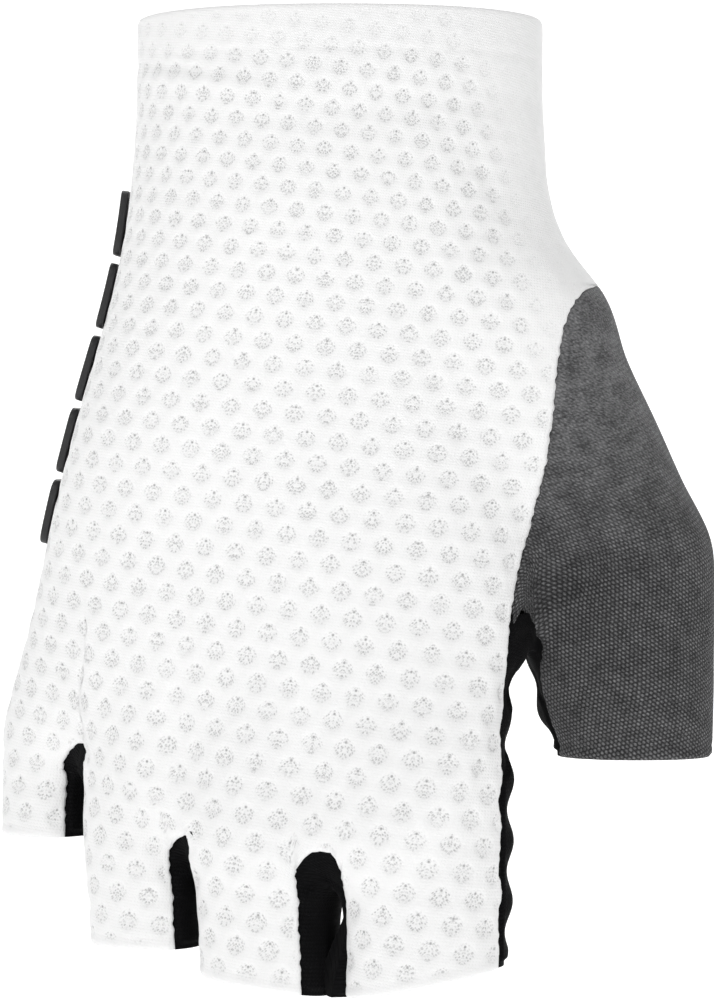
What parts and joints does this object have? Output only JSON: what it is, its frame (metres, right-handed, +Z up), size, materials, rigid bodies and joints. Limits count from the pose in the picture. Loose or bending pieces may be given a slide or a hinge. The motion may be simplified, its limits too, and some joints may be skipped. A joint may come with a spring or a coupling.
{
  "type": "short-finger cycling glove",
  "caption": "Right-hand slip-on cycling glove with open fingertips: dimpled mesh back, plain palm, knitted thumb sleeve, stretch side strips and rubber bars on the outer edge",
  "frame": {"origin": "centre of the cuff's opening, where the wrist goes in", "axes": "+Z up out of the cuff with the fingers pointing down, +X towards the thumb side, -Y out of the back of the hand"},
  "size_m": [0.1299, 0.0566, 0.1719],
  "materials": {
    "mesh_white": "matt dimpled mesh knit",
    "palm_black": "matt microfibre suede",
    "knit_grey": "mottled pique knit",
    "strip_black": "smooth stretch knit",
    "bar_rubber": "satin moulded rubber"
  },
  "bodies": {
    "root": {"back_panel": "mesh_white", "palm_panel": "palm_black", "thumb_sleeve": "knit_grey", "side_strip_little_ring": "strip_black", "side_strip_ring_middle": "strip_black", "side_strip_middle_index": "strip_black", "side_strip_index_thumb": "strip_black", "grip_bar_1": "bar_rubber", "grip_bar_2": "bar_rubber", "grip_bar_3": "bar_rubber", "grip_bar_4": "bar_rubber", "grip_bar_5": "bar_rubber"}
  },
  "joints": []
}
